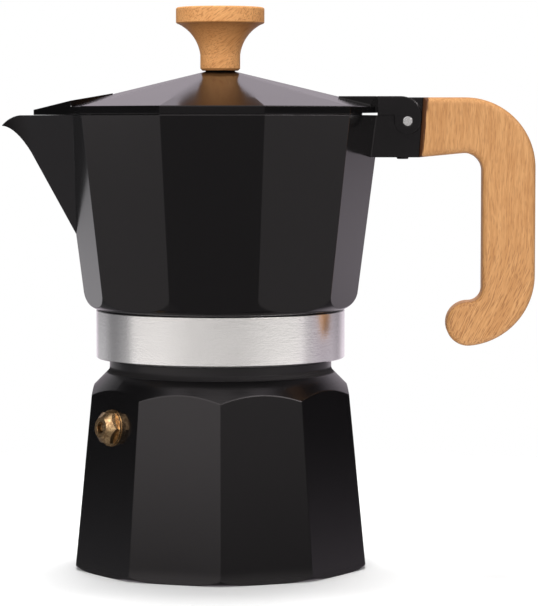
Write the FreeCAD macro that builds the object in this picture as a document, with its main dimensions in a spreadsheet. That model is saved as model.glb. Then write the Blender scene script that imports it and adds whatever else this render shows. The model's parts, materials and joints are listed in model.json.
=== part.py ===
"""A ten-sided stove-top moka pot, as an assembly of its separate pieces.

Millimetres, +Z up. The origin is the centre of the boiler's base, on the pot's axis.
The spout points along -X and the handle along +X.
"""
import FreeCAD
import Part
import Sketcher
import math
import os
import re

# The sizes, each with the alias that its cell has in the sheet; a cell may follow from others
SIZES = [
    # Boiler
    ("boiler_base_radius", 44.2, "corner radius of the boiler at the floor"),
    ("boiler_shoulder_radius", 39.1, "corner radius where the turned shoulder starts"),
    ("shoulder_rise", 6.7, "height of the turned shoulder cone"),
    ("neck_radius", 32.45, "turned neck below the collar"),
    ("neck_height", 9.9, "neck and thread, from the shoulder cone to the rim"),
    ("neck_fillet", 1.5, "hollow rounding between the shoulder and the neck"),
    ("thread_radius", 31.5, "threaded rim of the boiler"),
    ("thread_length", 7.0, "height of the threaded rim"),
    ("boiler_height", 67.2, "boiler from the floor to its rim"),
    ("boiler_wall", 3.4, "wall of the boiler at a facet's middle"),
    ("boiler_floor", 3.5, "floor of the boiler"),
    ("tank_round", 2.0, "inside rounding above the floor"),
    ("mouth_radius", 28.6, "bore of the boiler's neck"),
    ("mouth_drop", 1.2, "inside corner of the mouth below the neck's foot"),
    ("base_edge", 2.4, "turned rounding of the boiler's bottom edge"),
    ("foot_recess_radius", 31.0, "recess under the boiler"),
    ("foot_recess_depth", 0.6, "depth of that recess"),
    # Safety valve
    ("valve_bearing", 218.75, "direction of the valve's facet, degrees from +X"),
    ("valve_drop", 8.4, "valve axis below the shoulder's corners, on the facet"),
    ("valve_shank_radius", 3.6, "threaded shank of the valve"),
    ("valve_shank_length", 6.2, "shank from the facet inwards"),
    ("valve_washer_thickness", 0.4, "sealing washer under the flange"),
    ("valve_washer_overhang", 0.1, "washer beyond the flange"),
    ("valve_flange_radius", 5.15, "flange of the valve"),
    ("valve_flange_thickness", 0.6, "thickness of that flange"),
    ("valve_hex_across", 8.6, "hexagon across its flats"),
    ("valve_hex_length", 3.2, "length of the hexagon"),
    ("valve_crown_radius", 2.9, "flat end of the hexagon inside its bevel"),
    ("valve_crown_depth", 2.0, "height of that bevel at the corners"),
    ("valve_chamber_radius", 2.4, "bore that holds the spring"),
    ("valve_end_wall", 1.6, "metal between the spring and the outlet"),
    ("valve_outlet_radius", 1.75, "outlet hole in the hexagon's end"),
    ("valve_cap_thickness", 1.6, "screwed-in seat at the inner end"),
    ("valve_inlet_radius", 1.1, "inlet hole in that seat"),
    ("plunger_clearance", 0.3, "between the plunger's disc and the bore"),
    ("plunger_disc_thickness", 1.2, "disc that closes the inlet"),
    ("plunger_stem_radius", 0.9, "stem that shows in the outlet"),
    ("plunger_recess", 0.7, "stem's end below the hexagon's end"),
    ("spring_wire_radius", 0.25, "wire of the valve spring"),
    ("spring_coil_radius", 1.95, "middle of the spring's wire from its axis"),
    # Funnel
    ("funnel_sheet", 0.8, "sheet that the funnel is drawn from"),
    ("funnel_flange_radius", 30.8, "flange that rests on the boiler's rim"),
    ("funnel_clearance", 0.5, "between the basket and the boiler's mouth"),
    ("basket_depth", 22.0, "coffee basket from its flange to the screen"),
    ("screen_ledge", 2.8, "ledge that the screen rests on"),
    ("funnel_cone_depth", 9.0, "cone under the screen"),
    ("funnel_throat", 4.0, "sleeve under the cone that holds the stem"),
    ("funnel_stem_radius", 4.75, "stem of the funnel"),
    ("funnel_stem_gap", 2.6, "stem's end above the boiler's floor"),
    ("screen_thickness", 0.8, "perforated screens"),
    ("screen_clearance", 0.1, "between the screen and the basket"),
    ("screen_hole_radius", 0.65, "holes in the screens"),
    ("screen_hole_pitch", 6.0, "step from one ring of holes to the next"),
    # Seal
    ("gasket_thickness", 3.5, "rubber seal"),
    ("gasket_bore_radius", 25.6, "hole in the seal"),
    ("gasket_edge", 0.3, "rounded edges of the seal"),
    ("seal_clearance", 0.3, "between the seal and its recess"),
    ("plate_radius", 29.5, "filter plate above the seal"),
    ("plate_thickness", 0.8, "thickness of the filter plate"),
    ("plate_hole_pitch", 4.9, "step from one ring of its holes to the next"),
    # Collar and collector
    ("collar_radius", 36.3, "bright collar"),
    ("collar_height", 14.0, "height of the collar"),
    ("collar_rise", 7.54, "collar's top above the boiler's rim"),
    ("collar_lip", 0.25, "bevels at the collar's edges"),
    ("thread_clearance", 0.4, "between the collar's bore and the boiler's thread"),
    ("spigot_radius", 33.6, "foot of the collector, pressed into the collar"),
    ("spigot_length", 6.6, "length of that foot"),
    ("seal_recess_radius", 31.5, "recess for the seal inside the foot"),
    ("coffee_space_radius", 25.0, "space between the filter plate and the floor"),
    ("coffee_space_height", 1.4, "height of that space"),
    ("collector_floor", 3.0, "floor of the collector"),
    ("collector_height", 56.5, "collector from the collar to its rim"),
    ("collector_foot_radius", 39.5, "corner radius at the collar, before rounding"),
    ("rim_overhang", 2.55, "rim's corners beyond the boiler's base corners"),
    ("collector_rim_radius", "=boiler_base_radius + rim_overhang", "corner radius at the rim"),
    ("collector_wall", 2.4, "wall of the collector"),
    ("collector_foot_edge", 0.25, "flat of the collector's foot inside the collar's edge"),
    ("collector_round", 5.4, "height of the turned rounding above the collar"),
    ("collector_round_radius", 6.2, "radius of that rounding"),
    # Spout
    ("spout_throw", 17.1, "tip of the spout beyond the rim's corner"),
    ("spout_tip_depth", 3.1, "tip of the spout below the rim"),
    ("spout_lip_length", 8.5, "curved lip of the spout"),
    ("spout_lip_depth", 10.8, "keel below the rim where the lip starts"),
    ("spout_lip_width", 5.0, "half width of the spout where the lip starts"),
    ("spout_tip_width", 0.75, "half width of the tip"),
    ("spout_keel_slope", 1.83, "fall of the keel for each millimetre inwards"),
    ("spout_flare", 0.86, "gain of half width for each millimetre inwards"),
    ("spout_channel_shift", 2.66, "pouring channel behind the spout's outside"),
    ("spout_lip_curve", 5.4, "rounded length of the lip's top line"),
    ("spout_lip_radius", 8.64, "radius of that line"),
    ("spout_tip_height", 0.22, "blunt end of the tip"),
    # Riser column
    ("riser_foot_radius", 7.2, "column at the collector's floor"),
    ("riser_top_radius", 5.6, "column at its cap"),
    ("riser_height", 41.0, "column above the floor"),
    ("riser_bore_radius", 3.9, "bore of the column"),
    ("riser_spigot_radius", 5.5, "column's end pressed into the floor"),
    ("riser_cap", 2.4, "closed end of the column"),
    ("riser_cap_inset", 1.44, "how far the rounded end draws in"),
    ("riser_window_height", 7.0, "outlet windows under the cap"),
    ("riser_window_width", 4.6, "width of those windows"),
    # Hinge and bracket
    ("pin_offset", 7.7, "hinge pin beyond the rim's corner"),
    ("pin_drop", 1.75, "hinge pin below the rim"),
    ("pin_radius", 1.36, "hinge pin"),
    ("pin_clearance", 0.05, "between the pin and the lid's knuckle"),
    ("pin_proud", 0.12, "pin's ends beyond the ears"),
    ("bracket_half_width", 4.25, "bracket on each side of the middle"),
    ("bracket_depth", 12.2, "underside of the bracket below the rim"),
    ("bracket_sink", 6.75, "inner end of the bracket inside the rim's corner"),
    ("ear_half_width", 5.0, "outer face of the hinge ears"),
    ("ear_length", 8.65, "ears in front of the pin"),
    ("ear_rise", 5.5, "top of the ears above the rim"),
    ("ear_corner", 6.0, "rounding of the ears' rear corner"),
    ("lobe_radius", 3.8, "lobe of the ears round the pin"),
    ("slot_half_width", 2.3, "slot between the ears"),
    ("slot_length", 7.25, "slot in front of the pin"),
    ("tongue_clearance", 0.25, "between the lid's tongue and the ears"),
    ("knuckle_radius", 3.4, "lid's knuckle round the pin"),
    ("knuckle_gap", 0.5, "between the knuckle and the slot's floor"),
    ("tongue_neck", 5.46, "tongue's lower corner in front of the pin"),
    ("tongue_step", 7.14, "tongue's step in front of the pin"),
    ("tongue_crest", 8.0, "tongue's upper corner in front of the pin"),
    # Handle
    ("joint_offset", 4.5, "wood's end face beyond the pin, at its top"),
    ("joint_lean", 1.15, "how far that face leans in at its foot"),
    ("handle_rise", 5.15, "top of the handle above the rim"),
    ("handle_reach", 91.45, "outer face of the grip from the axis"),
    ("handle_grip", 15.35, "depth of the grip"),
    ("handle_thickness", 12.0, "thickness of the wood"),
    ("handle_height", 72.1, "handle from its top to its lower edge"),
    ("handle_shoulder", 20.4, "outer rounding at the top"),
    ("handle_crook", 5.2, "inner rounding at the top"),
    ("arm_slope", 5.6, "rise of the arm's underside, degrees"),
    ("handle_heel", 3.8, "inner rounding above the hook"),
    ("handle_bend", 20.7, "outer rounding at the bottom"),
    ("handle_hook_depth", 12.9, "depth of the hook"),
    ("handle_hook_throw", 3.9, "middle of the hook's end inwards of the grip"),
    ("handle_edge", 2.0, "rounded edges of the wood"),
    ("tang_half_width", 2.5, "steel tang on each side of the middle"),
    ("tang_thickness", 3.0, "thickness of the tang"),
    ("tang_floor", 2.2, "metal of the bracket under the tang"),
    ("tang_length", 5.85, "tang in front of the pin"),
    ("tang_bite", 11.0, "tang inside the wood"),
    ("handle_screw_offset", 1.35, "handle screw in front of the pin"),
    ("handle_screw_radius", 1.25, "shank of the handle screw"),
    ("handle_screw_head_radius", 1.7, "head of the handle screw"),
    ("handle_screw_head", 0.5, "height of that head"),
    ("handle_screw_round", 0.3, "rounded edge of that head"),
    # Lid
    ("lid_gap", 0.1, "between the collector's rim and the lid"),
    ("lid_overhang", 0.05, "lid's corners beyond the collector's"),
    ("lid_band", 2.35, "upright band of the lid"),
    ("lid_height", 12.6, "lid from its foot to its boss"),
    ("lid_boss_radius", 4.3, "boss under the knob"),
    ("lid_boss_depth", 7.0, "length of that boss"),
    ("lid_wall", 1.6, "wall of the lid's band"),
    ("lid_crease_wall", 1.44, "height of metal where the cone meets the band"),
    ("lid_crown_wall", 1.92, "height of metal at the boss"),
    ("lid_lip_wall", 1.0, "lip that drops inside the collector's rim"),
    ("lid_lip_clearance", 0.6, "between that lip and the collector's wall"),
    ("lid_lip_drop", 1.2, "lip below the rim"),
    ("lid_lip_root", 1.9, "lip's root in the cone, above the lid's foot"),
    ("lid_lip_notch", 9.0, "half width of the lip's gap at the spout"),
    ("hinge_relief", 0.6, "relief under the lid's edge beside the hinge"),
    ("hinge_relief_half_width", 17.0, "half width of that relief"),
    ("hinge_relief_inset", 13.0, "inner end of that relief inside the lid's corner"),
    ("lid_arm_inset", 12.3, "inner end of the lid's arm inside its corner"),
    ("lid_arm_root", 8.0, "foot of that arm inside the corner"),
    ("lid_arm_gap", 0.4, "between the lid's arm and the ears as it swings"),
    ("beak_overhang", 7.8, "tip of the lid's beak beyond the lid's corner"),
    ("beak_tip", 1.5, "height of the beak at its tip"),
    ("beak_slope", 0.207, "rise of the beak for each millimetre inwards"),
    ("beak_root_inset", 4.5, "widest place of the beak inside the corner"),
    ("beak_half_width", 13.7, "half width there"),
    ("beak_inner_inset", 15.4, "inner end of the beak inside the corner"),
    # Knob
    ("knob_lift", 0.25, "raised seat between the lid's boss and the knob"),
    ("knob_foot_radius", 5.8, "foot of the knob"),
    ("knob_foot_height", 4.5, "straight foot of the knob"),
    ("knob_height", 18.3, "height of the knob"),
    ("knob_disc_radius", 12.87, "top disc of the knob"),
    ("knob_disc_height", 4.7, "height of that disc"),
    ("knob_disc_step", 1.1, "step from the hollow neck to the disc's edge"),
    ("knob_hollow", 11.5, "radius of the hollow neck"),
    ("knob_edge", 0.6, "rounding of the disc's upper edge"),
    ("knob_lower_edge", 0.3, "bevel of the disc's lower edge"),
    ("knob_insert_radius", 3.0, "threaded insert in the knob"),
    ("knob_insert_length", 10.0, "length of that insert"),
    ("knob_screw_radius", 1.6, "shank of the knob screw"),
    ("knob_screw_length", 14.0, "length of that shank"),
    ("knob_screw_head_radius", 3.2, "head of the knob screw"),
    ("knob_screw_head", 2.0, "height of that head"),
    ("knob_screw_dome", 0.8, "how far the domed head draws in"),
]

# Counts and angles that belong to the design, not to a size
FACETS = 10
FACET_ANGLE = 360 / FACETS
HALF_FACET = FACET_ANGLE / 2
SCREEN_RINGS = 4
PLATE_RINGS = 5
SPRING_TURNS = 5
LIP_STEPS = 4
LIP_CURVE = 1.8
HEX_CORNERS = 6
HOLES_A_RING = 6
OVERSHOOT = 1.0

# Heights and reaches, as expressions on the sheet
NECK_FOOT = "(boiler_height - neck_height)"
SHOULDER = "(boiler_height - neck_height - shoulder_rise)"
VALVE_HEIGHT = "(boiler_height - neck_height - shoulder_rise - valve_drop)"
THREAD_FOOT = "(boiler_height - thread_length)"
FLANGE_TOP = "(boiler_height + funnel_sheet)"
GASKET_TOP = "(boiler_height + funnel_sheet + gasket_thickness)"
PLATE_TOP = "(boiler_height + funnel_sheet + gasket_thickness + plate_thickness)"
FLOOR_FOOT = f"({PLATE_TOP} + coffee_space_height)"
FLOOR_TOP = f"({FLOOR_FOOT} + collector_floor)"
COLLAR_TOP = "(boiler_height + collar_rise)"
COLLAR_FOOT = "(boiler_height + collar_rise - collar_height)"
RIM = "(boiler_height + collar_rise + collector_height)"
LID_FOOT = f"({RIM} + lid_gap)"
LID_TOP = f"({LID_FOOT} + lid_height)"
KNOB_FOOT = f"({LID_TOP} + knob_lift)"
KNOB_TOP = f"({KNOB_FOOT} + knob_height)"
PIN_HEIGHT = f"({RIM} - pin_drop)"
BRACKET_FOOT = f"({RIM} - bracket_depth)"
EAR_TOP = f"({RIM} + ear_rise)"
HANDLE_TOP = f"({RIM} + handle_rise)"
HANDLE_FOOT = f"({RIM} + handle_rise - handle_height)"
SCREEN_SEAT = f"({FLANGE_TOP} - basket_depth)"
CONE_FOOT = f"({SCREEN_SEAT} - funnel_cone_depth)"
TANG_FOOT = f"({BRACKET_FOOT} + tang_floor)"
BOILER_TAPER = f"((boiler_base_radius - boiler_shoulder_radius) / {SHOULDER})"
COLLECTOR_FLARE = "((collector_rim_radius - collector_foot_radius) / collector_height)"
BASKET_RADIUS = "(mouth_radius - funnel_clearance)"
SPOUT_REACH = "(collector_rim_radius + spout_throw)"
PIN_REACH = "(collector_rim_radius + pin_offset)"
JOINT_TOP = f"({PIN_REACH} + joint_offset)"
JOINT_FOOT = f"({JOINT_TOP} - joint_lean)"
EAR_FRONT = f"({PIN_REACH} - ear_length)"
TANG_FRONT = f"({PIN_REACH} - tang_length)"
TANG_BACK = f"({JOINT_TOP} + tang_bite)"
HANDLE_SCREW = f"({PIN_REACH} - handle_screw_offset)"
LID_RADIUS = "(collector_rim_radius + lid_overhang)"
LID_ARM_FOOT = f"({LID_RADIUS} - lid_arm_root)"

doc = FreeCAD.newDocument("moka_pot")
sheet = doc.addObject("Spreadsheet::Sheet", "Dims")
for row, (alias, number, note) in enumerate(SIZES, start=1):
    sheet.set(f"A{row}", note)
    sheet.set(f"B{row}", str(number))
    sheet.setAlias(f"B{row}", alias)
doc.recompute()


def tied(text):
    """An expression on the sheet's aliases, as the document reads it."""
    return re.sub(r"\b([a-z]\w*)\b(?!\s*\()", r"Dims.\1", str(text))


def size(text):
    """The number that such an expression gives."""
    result = sheet.evalExpression(tied(text))
    return float(getattr(result, "Value", result))


def bind(target, path, text):
    """Ties one property of an object to the sheet."""
    target.setExpression(path, tied(text))


def new_body(name, bearing=None):
    """An empty body, turned about the pot's axis where it has a bearing."""
    body = doc.addObject("PartDesign::Body", name)
    body.Label = name
    body.Placement = FreeCAD.Placement()
    if bearing:
        body.Placement.Rotation = FreeCAD.Rotation(FreeCAD.Vector(0, 0, 1), size(bearing))
        bind(body, "Placement.Rotation.Angle", bearing)
    return body


def origin_feature(body, role):
    return next(f for f in body.Origin.OriginFeatures if f.Role == role)


def new_sketch(body, name, role, height="0"):
    """A sketch on one of the body's own planes, raised along that plane's normal."""
    sketch = body.newObject("Sketcher::SketchObject", name)
    sketch.AttachmentSupport = [(origin_feature(body, role), "")]
    sketch.MapMode = "FlatFace"
    if height != "0":
        bind(sketch, "AttachmentOffset.Base.z", height)
    return sketch


def arc_through(start, end, radius):
    """The short arc between two points; a negative radius turns clockwise."""
    middle = (start + end) * 0.5
    chord = end - start
    reach = math.sqrt(radius * radius - (chord.Length / 2) ** 2)
    normal = FreeCAD.Vector(-chord.y, chord.x, 0).normalize()
    centre = middle + normal * (reach if radius > 0 else -reach)
    circle = Part.Circle(centre, FreeCAD.Vector(0, 0, 1), abs(radius))
    first, last = (start, end) if radius > 0 else (end, start)
    angles = [math.atan2(p.y - centre.y, p.x - centre.x) for p in (first, last)]
    return Part.ArcOfCircle(circle, angles[0], angles[1])


def draw(sketch, points):
    """A closed outline. Each point is an (x, y) pair of expressions, and a third item is the
    radius of the arc that arrives there, with a minus sign where the arc turns clockwise."""
    places = [FreeCAD.Vector(size(p[0]), size(p[1]), 0) for p in points]
    first = sketch.GeometryCount
    ends = []
    for index, point in enumerate(points):
        start = places[index - 1]
        end = places[index]
        clockwise = len(point) > 2 and point[2].startswith("-")
        if len(point) > 2:
            radius = size(point[2].lstrip("-"))
            number = sketch.addGeometry(arc_through(start, end, -radius if clockwise else radius))
        else:
            number = sketch.addGeometry(Part.LineSegment(start, end))
        ends.append((number, (2, 1) if clockwise else (1, 2)))
    for index, point in enumerate(points):
        number, (_, last) = ends[index]
        after, (begin, _) = ends[(index + 1) % len(points)]
        sketch.addConstraint(Sketcher.Constraint("Coincident", number, last, after, begin))
        tie_point(sketch, f"{first}_{index}", number, last, point[:2])
        if len(point) > 2:
            text = point[2].lstrip("-")
            made = sketch.addConstraint(Sketcher.Constraint("Radius", number, size(text)))
            sketch.renameConstraint(made, f"r{first}_{index}")
            bind(sketch, f"Constraints.r{first}_{index}", text)


def tie_point(sketch, tag, number, end, pair):
    """Ties one end of a line or arc to its two expressions."""
    for kind, letter, text in (("DistanceX", "x", pair[0]), ("DistanceY", "y", pair[1])):
        made = sketch.addConstraint(Sketcher.Constraint(kind, -1, 1, number, end, size(text)))
        sketch.renameConstraint(made, f"{letter}{tag}")
        bind(sketch, f"Constraints.{letter}{tag}", text)


def draw_circle(sketch, x, y, radius):
    """A circle tied to the sheet."""
    centre = FreeCAD.Vector(size(x), size(y), 0)
    circle = Part.Circle(centre, FreeCAD.Vector(0, 0, 1), size(radius))
    number = sketch.addGeometry(circle)
    tie_point(sketch, f"c{number}", number, 3, (x, y))
    made = sketch.addConstraint(Sketcher.Constraint("Radius", number, size(radius)))
    sketch.renameConstraint(made, f"radius{number}")
    bind(sketch, f"Constraints.radius{number}", radius)


def polygon(radius, corners=FACETS, start=0.0):
    """The corners of a regular polygon, as expressions."""
    step = 360 / corners
    angles = [start + step * k for k in range(corners)]
    return [(f"({radius}) * cos({a})", f"({radius}) * sin({a})") for a in angles]


def rectangle(x0, y0, x1, y1):
    return [(x0, y0), (x1, y0), (x1, y1), (x0, y1)]


def finished(body, feature):
    """Makes a new feature the body's tip, and checks that it came out."""
    body.Tip = feature
    doc.recompute()
    if "Invalid" in feature.State or "Error" in feature.State or not feature.Shape.isValid():
        raise RuntimeError(f"{body.Label}: {feature.Name} failed")
    return feature


def turned(body, name, points, cut=False):
    """Turns an outline in the XZ plane about the pot's axis."""
    sketch = new_sketch(body, name + "_outline", "XZ_Plane")
    draw(sketch, points)
    return turn_sketch(body, name, sketch, "V_Axis", cut)


def turn_sketch(body, name, sketch, axis, cut):
    before = body.Shape.Volume if cut else 0.0
    feature = body.newObject("PartDesign::Groove" if cut else "PartDesign::Revolution", name)
    feature.Profile = sketch
    feature.ReferenceAxis = (sketch, [axis])
    feature.Angle = 360
    finished(body, feature)
    if cut and not body.Shape.Volume < before:
        raise RuntimeError(f"{body.Label}: {name} cut nothing")
    return feature


def lofted(body, name, sections, cut=False, ruled=True):
    """A loft through sketches that are drawn already."""
    kind = "PartDesign::SubtractiveLoft" if cut else "PartDesign::AdditiveLoft"
    feature = body.newObject(kind, name)
    feature.Profile = sections[0]
    feature.Sections = sections[1:]
    feature.Ruled = ruled
    return finished(body, feature)


def prism(body, name, role, points, length, cut=False, both_sides=False, height="0", reverse=False):
    """Pads or pockets one closed outline."""
    sketch = new_sketch(body, name + "_outline", role, height)
    draw(sketch, points)
    return extrude(body, name, sketch, length, cut, both_sides, reverse)


def extrude(body, name, sketch, length, cut=False, both_sides=False, reverse=False):
    before = body.Shape.Volume if cut else 0.0
    feature = body.newObject("PartDesign::Pocket" if cut else "PartDesign::Pad", name)
    feature.Profile = sketch
    bind(feature, "Length", length)
    if both_sides:
        feature.SideType = "Symmetric"
    feature.Reversed = reverse
    finished(body, feature)
    if cut and not body.Shape.Volume < before:
        raise RuntimeError(f"{body.Label}: {name} cut nothing")
    return feature


def bored(body, name, role, x, y, radius, length, height="0", cut=True, both_sides=False, reverse=False):
    """A round hole, or a round boss."""
    sketch = new_sketch(body, name + "_circle", role, height)
    draw_circle(sketch, x, y, radius)
    return extrude(body, name, sketch, length, cut, both_sides, reverse)


def rounded(body, name, radius, chosen):
    """Rounds the edges of the body's tip that a test picks out."""
    base = body.Tip
    names = [f"Edge{i}" for i, edge in enumerate(base.Shape.Edges, start=1) if chosen(edge)]
    feature = body.newObject("PartDesign::Fillet", name)
    feature.Base = (base, names)
    bind(feature, "Radius", radius)
    return finished(body, feature)


def polar(body, name, feature, count):
    """Repeats a cut round the pot's axis."""
    pattern = body.newObject("PartDesign::PolarPattern", name)
    pattern.Originals = [feature]
    pattern.Axis = (origin_feature(body, "Z_Axis"), [""])
    pattern.Angle = 360
    pattern.Occurrences = count
    return finished(body, pattern)


def perforate(body, foot, thickness, pitch, rings):
    """One hole in the middle and rings of holes round it."""
    above = f"{foot} + {thickness}"
    bored(body, "centre_hole", "XY_Plane", "0", "0", "screen_hole_radius", thickness, above)
    for ring in range(1, rings + 1):
        hole = bored(body, f"ring_{ring}_hole", "XY_Plane", f"{ring} * {pitch}", "0",
                     "screen_hole_radius", thickness, above)
        polar(body, f"ring_{ring}", hole, HOLES_A_RING * ring)


# Boiler


def make_boiler():
    """Ten flat sides under a turned shoulder, hollow, with a threaded rim."""
    body = new_body("boiler", "valve_bearing")
    foot = new_sketch(body, "base_corners", "XY_Plane")
    draw(foot, polygon("boiler_base_radius", start=HALF_FACET))
    top = new_sketch(body, "rim_corners", "XY_Plane", "boiler_height")
    rim_corner = f"boiler_base_radius - {BOILER_TAPER} * boiler_height"
    draw(top, polygon(rim_corner, start=HALF_FACET))
    lofted(body, "facets", [foot, top])
    turned(body, "base_rounding", [
        ("boiler_base_radius - base_edge", "0"),
        ("boiler_base_radius", "base_edge", "base_edge"),
        (f"boiler_base_radius + {OVERSHOOT}", "base_edge"),
        (f"boiler_base_radius + {OVERSHOOT}", f"-{OVERSHOOT}"),
        ("boiler_base_radius - base_edge", f"-{OVERSHOOT}"),
    ], cut=True)

    cone_run = "(boiler_base_radius - boiler_shoulder_radius)"
    cone_slope = "(shoulder_rise / (boiler_shoulder_radius - neck_radius))"
    lean = f"atan(1 / {cone_slope})"
    tangent = f"neck_fillet * tan({lean} / 2)"
    turned(body, "shoulder", [
        ("boiler_base_radius", f"{SHOULDER} - {cone_run} * {cone_slope}"),
        (f"neck_radius + {tangent} * sin({lean})", f"{NECK_FOOT} - {tangent} * cos({lean})"),
        ("neck_radius", f"{NECK_FOOT} + {tangent}", "-neck_fillet"),
        ("neck_radius", THREAD_FOOT),
        ("thread_radius", THREAD_FOOT),
        ("thread_radius", f"boiler_height + {OVERSHOOT}"),
        ("boiler_base_radius", f"boiler_height + {OVERSHOOT}"),
    ], cut=True)

    inner_base = f"(boiler_base_radius - {BOILER_TAPER} * boiler_floor) * cos({HALF_FACET}) - boiler_wall"
    inner_shoulder = f"boiler_shoulder_radius * cos({HALF_FACET}) - boiler_wall"
    turned(body, "tank", [
        ("0", "boiler_floor"),
        (f"{inner_base} - tank_round", "boiler_floor"),
        (inner_base, "boiler_floor + tank_round", "tank_round"),
        (inner_shoulder, SHOULDER),
        ("mouth_radius", f"{NECK_FOOT} - mouth_drop"),
        ("mouth_radius", f"boiler_height + {OVERSHOOT}"),
        ("0", f"boiler_height + {OVERSHOOT}"),
    ], cut=True)
    turned(body, "foot_recess", rectangle("0", "-foot_recess_depth", "foot_recess_radius",
                                          "foot_recess_depth"), cut=True)
    bore = valve_sketch(body, "valve_bore_outline")
    draw(bore, rectangle(f"-valve_shank_length - {OVERSHOOT}", "0", f"{OVERSHOOT}", "valve_shank_radius"))
    turn_sketch(body, "valve_bore", bore, "H_Axis", cut=True)
    return body


# Safety valve, on an axis square to its facet

VALVE_SEAT = f"((boiler_base_radius - {BOILER_TAPER} * {VALVE_HEIGHT}) * cos({HALF_FACET}))"
VALVE_TILT = f"atan({BOILER_TAPER} * cos({HALF_FACET}))"
FLANGE_START = "valve_washer_thickness"
HEX_START = "(valve_washer_thickness + valve_flange_thickness)"
HEX_END = "(valve_washer_thickness + valve_flange_thickness + valve_hex_length)"
CHAMBER_END = f"({HEX_END} - valve_end_wall)"
CAP_TOP = "(valve_cap_thickness - valve_shank_length)"
DISC_TOP = "(valve_cap_thickness - valve_shank_length + plunger_disc_thickness)"


def valve_sketch(body, name):
    """A sketch whose x axis is the valve's own axis, from the facet outwards."""
    sketch = new_sketch(body, name, "XZ_Plane")
    sketch.AttachmentOffset.Rotation = FreeCAD.Rotation(FreeCAD.Vector(0, 0, 1), size(VALVE_TILT))
    bind(sketch, "AttachmentOffset.Base.x", VALVE_SEAT)
    bind(sketch, "AttachmentOffset.Base.y", VALVE_HEIGHT)
    bind(sketch, "AttachmentOffset.Rotation.Angle", VALVE_TILT)
    return sketch


def valve_turned(name, points):
    body = new_body(name, "valve_bearing")
    sketch = valve_sketch(body, name + "_outline")
    draw(sketch, points)
    turn_sketch(body, name + "_turning", sketch, "H_Axis", cut=False)
    return body


def make_valve_body():
    """Threaded shank, flange and hexagon, bored for the spring and the outlet."""
    body = valve_turned("valve_body", rectangle("-valve_shank_length", "0", HEX_START, "valve_shank_radius"))
    flange = valve_sketch(body, "flange_outline")
    draw(flange, rectangle(FLANGE_START, "0", HEX_START, "valve_flange_radius"))
    turn_sketch(body, "flange", flange, "H_Axis", cut=False)
    hexagon = new_sketch(body, "hex_outline", "YZ_Plane")
    hexagon.AttachmentOffset.Rotation = FreeCAD.Rotation(FreeCAD.Vector(1, 0, 0), -size(VALVE_TILT))
    bind(hexagon, "AttachmentOffset.Base.y", f"{VALVE_HEIGHT} + {HEX_START} * sin({VALVE_TILT})")
    bind(hexagon, "AttachmentOffset.Base.z", f"{VALVE_SEAT} + {HEX_START} * cos({VALVE_TILT})")
    corner = f"valve_hex_across / 2 / cos({180 / HEX_CORNERS})"
    draw(hexagon, polygon(corner, HEX_CORNERS))
    extrude(body, "hexagon", hexagon, "valve_hex_length")
    crown = valve_sketch(body, "crown_outline")
    draw(crown, [(f"{HEX_END} + {OVERSHOOT}", "valve_crown_radius"),
                 (f"{HEX_END} + {OVERSHOOT}", corner),
                 (f"{HEX_END} - valve_crown_depth", corner),
                 (HEX_END, "valve_crown_radius")])
    turn_sketch(body, "crown", crown, "H_Axis", cut=True)
    bores = valve_sketch(body, "bore_outline")
    draw(bores, [(f"-valve_shank_length - {OVERSHOOT}", "0"),
                 (f"{HEX_END} + {OVERSHOOT}", "0"),
                 (f"{HEX_END} + {OVERSHOOT}", "valve_outlet_radius"),
                 (CHAMBER_END, "valve_outlet_radius"),
                 (CHAMBER_END, "valve_chamber_radius"),
                 (f"-valve_shank_length - {OVERSHOOT}", "valve_chamber_radius")])
    turn_sketch(body, "bores", bores, "H_Axis", cut=True)
    return body


def make_valve_washer():
    return valve_turned("valve_washer", rectangle("0", "valve_shank_radius", "valve_washer_thickness",
                                                  "valve_flange_radius + valve_washer_overhang"))


def make_valve_cap():
    return valve_turned("valve_cap", rectangle("-valve_shank_length", "valve_inlet_radius",
                                               CAP_TOP, "valve_chamber_radius"))


def make_valve_plunger():
    """A disc on the inlet seat, with a stem that shows in the outlet."""
    disc = "valve_chamber_radius - plunger_clearance"
    return valve_turned("valve_plunger", [
        (CAP_TOP, "0"),
        (f"{HEX_END} - plunger_recess", "0"),
        (f"{HEX_END} - plunger_recess", "plunger_stem_radius"),
        (DISC_TOP, "plunger_stem_radius"),
        (DISC_TOP, disc),
        (CAP_TOP, disc),
    ])


def make_valve_spring():
    """A coil between the plunger's disc and the end of its chamber, in quarter-turn arcs."""
    wire = size("spring_wire_radius")
    coil = size("spring_coil_radius")
    start = size(DISC_TOP) + 2 * wire
    end = size(CHAMBER_END) - 2 * wire
    steps = SPRING_TURNS * 4

    def place(step):
        angle = step * math.pi / 2
        along = start + (end - start) * step / steps
        return FreeCAD.Vector(along, coil * math.cos(angle), coil * math.sin(angle))

    arcs = [Part.Arc(place(k), place(k + 0.5), place(k + 1)).toShape() for k in range(steps)]
    rise = FreeCAD.Vector((end - start) / steps, 0, coil * math.pi / 2)
    section = Part.Wire([Part.Circle(place(0), rise, wire).toShape()])
    spring = doc.addObject("Part::Feature", "valve_spring")
    spring.Label = "valve_spring"
    spring.Shape = Part.Wire(arcs).makePipeShell([section], True, False)
    turn = FreeCAD.Rotation(FreeCAD.Vector(0, 0, 1), size("valve_bearing"))
    tilt = FreeCAD.Rotation(FreeCAD.Vector(0, 1, 0), -size(VALVE_TILT))
    seat = FreeCAD.Vector(size(VALVE_SEAT), 0, size(VALVE_HEIGHT))
    spring.Placement = FreeCAD.Placement(turn.multVec(seat), turn.multiply(tilt))
    print("valve spring: gap between turns", round((end - start) / SPRING_TURNS - 2 * wire, 3))
    return spring


# Funnel and seal


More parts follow.
